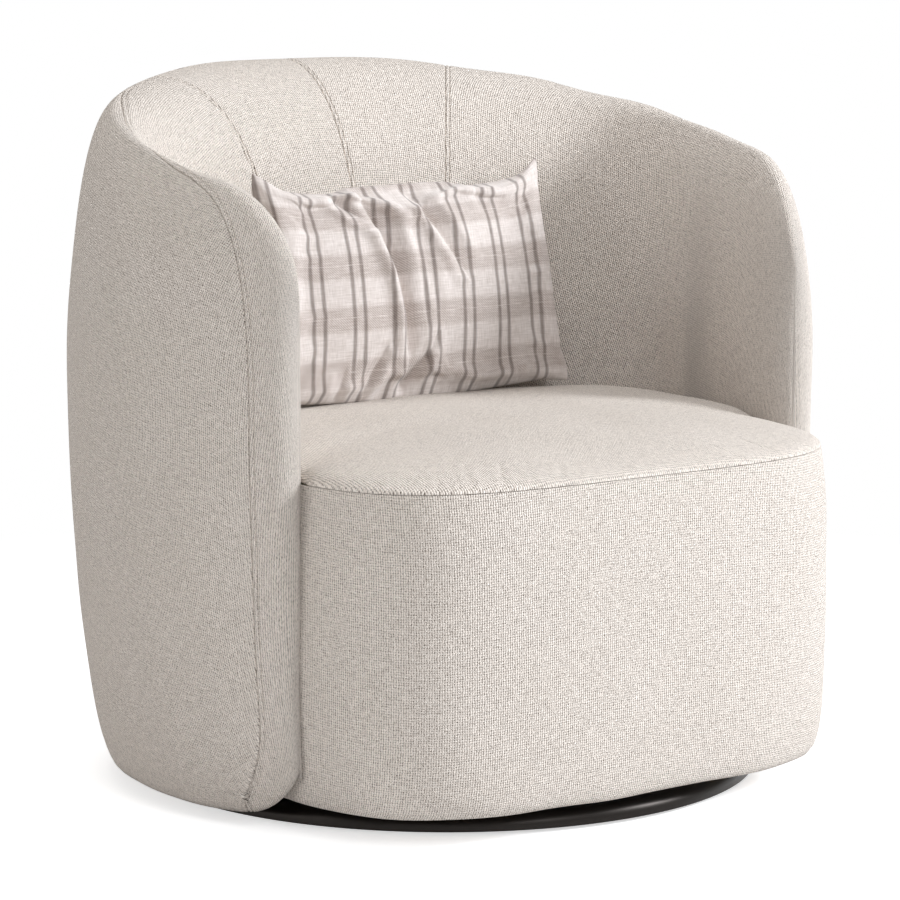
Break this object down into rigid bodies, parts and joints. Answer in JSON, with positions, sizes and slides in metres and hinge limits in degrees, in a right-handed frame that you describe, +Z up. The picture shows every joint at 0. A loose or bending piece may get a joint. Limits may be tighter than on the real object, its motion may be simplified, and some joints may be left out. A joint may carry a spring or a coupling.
{
  "type": "swivel armchair",
  "caption": "Low upholstered tub armchair that turns on a round plinth, with a wrap-round back and a loose plaid lumbar pillow.",
  "frame": {"origin": "on the floor under the swivel axis, at the centre of the pad under the plinth", "axes": "+Z up along the swivel axis, -Y towards the front of the seat, +X towards the sitter's left"},
  "size_m": [0.808, 0.739, 0.741],
  "materials": {
    "bronze_steel": "satin dark bronze",
    "plywood": "raw birch plywood",
    "black_nylon": "matt",
    "zinc_steel": "zinc plated",
    "dark_bolt": "dark oxide",
    "cage_plastic": "plain",
    "lining_cloth": "non-woven",
    "webbing": "elastic webbing",
    "foam": "cut foam and wadding",
    "cream_weave": "coarse oatmeal basket weave",
    "plaid_cloth": "woven greige plaid with brown and taupe stripes",
    "fibre_fill": "white cotton case with fibre"
  },
  "bodies": {
    "base": {"plinth_pan": "bronze_steel", "plinth_board": "plywood", "floor_glides": "black_nylon", "glide_screws": "zinc_steel", "lower_plate": "zinc_steel", "lower_plate_bolts": "dark_bolt", "pivot_stud": "zinc_steel"},
    "ball_ring": {"ball_cage": "cage_plastic", "bearing_balls": "zinc_steel"},
    "chair": {"upper_plate": "zinc_steel", "upper_plate_bolts": "dark_bolt", "chassis_panel": "plywood", "dust_cover": "lining_cloth", "rib_1": "plywood", "rib_2": "plywood", "rib_3": "plywood", "rib_4": "plywood", "rib_5": "plywood", "rib_6": "plywood", "rib_7": "plywood", "rib_8": "plywood", "rib_9": "plywood", "top_rail": "plywood", "mid_rail": "plywood", "back_webbing": "webbing", "front_board": "plywood", "rear_board": "plywood", "left_board": "plywood", "right_board": "plywood", "corner_blocks": "plywood", "webbing_long": "webbing", "webbing_cross": "webbing", "front_pad": "foam", "seat_foam": "foam", "seat_border": "cream_weave", "seat_top": "cream_weave", "back_foam": "foam", "arm_foam_left": "foam", "arm_foam_right": "foam", "hem_welt": "foam", "outer_cover": "cream_weave", "inner_left_arm": "cream_weave", "inner_left_back": "cream_weave", "inner_right_back": "cream_weave", "inner_right_arm": "cream_weave"},
    "pillow": {"pillow_front": "plaid_cloth", "pillow_back": "plaid_cloth", "pillow_insert": "fibre_fill"}
  },
  "joints": [
    {"name": "swivel", "type": "hinge", "parent": "base", "child": "chair", "pos_m": [0, 0, 0.03], "axis": [0, 0, 1], "continuous": true},
    {"name": "ball_ring_turn", "type": "hinge", "parent": "base", "child": "ball_ring", "pos_m": [0, 0, 0.0275], "axis": [0, 0, 1], "continuous": true},
    {"name": "pillow_lift", "type": "slide", "parent": "chair", "child": "pillow", "axis": [0, -0.45, 0.893], "range_m": [0, 0.3]}
  ],
  "couplings": [
    {"joint": "ball_ring_turn", "follows": "swivel", "ratio": 0.5}
  ]
}
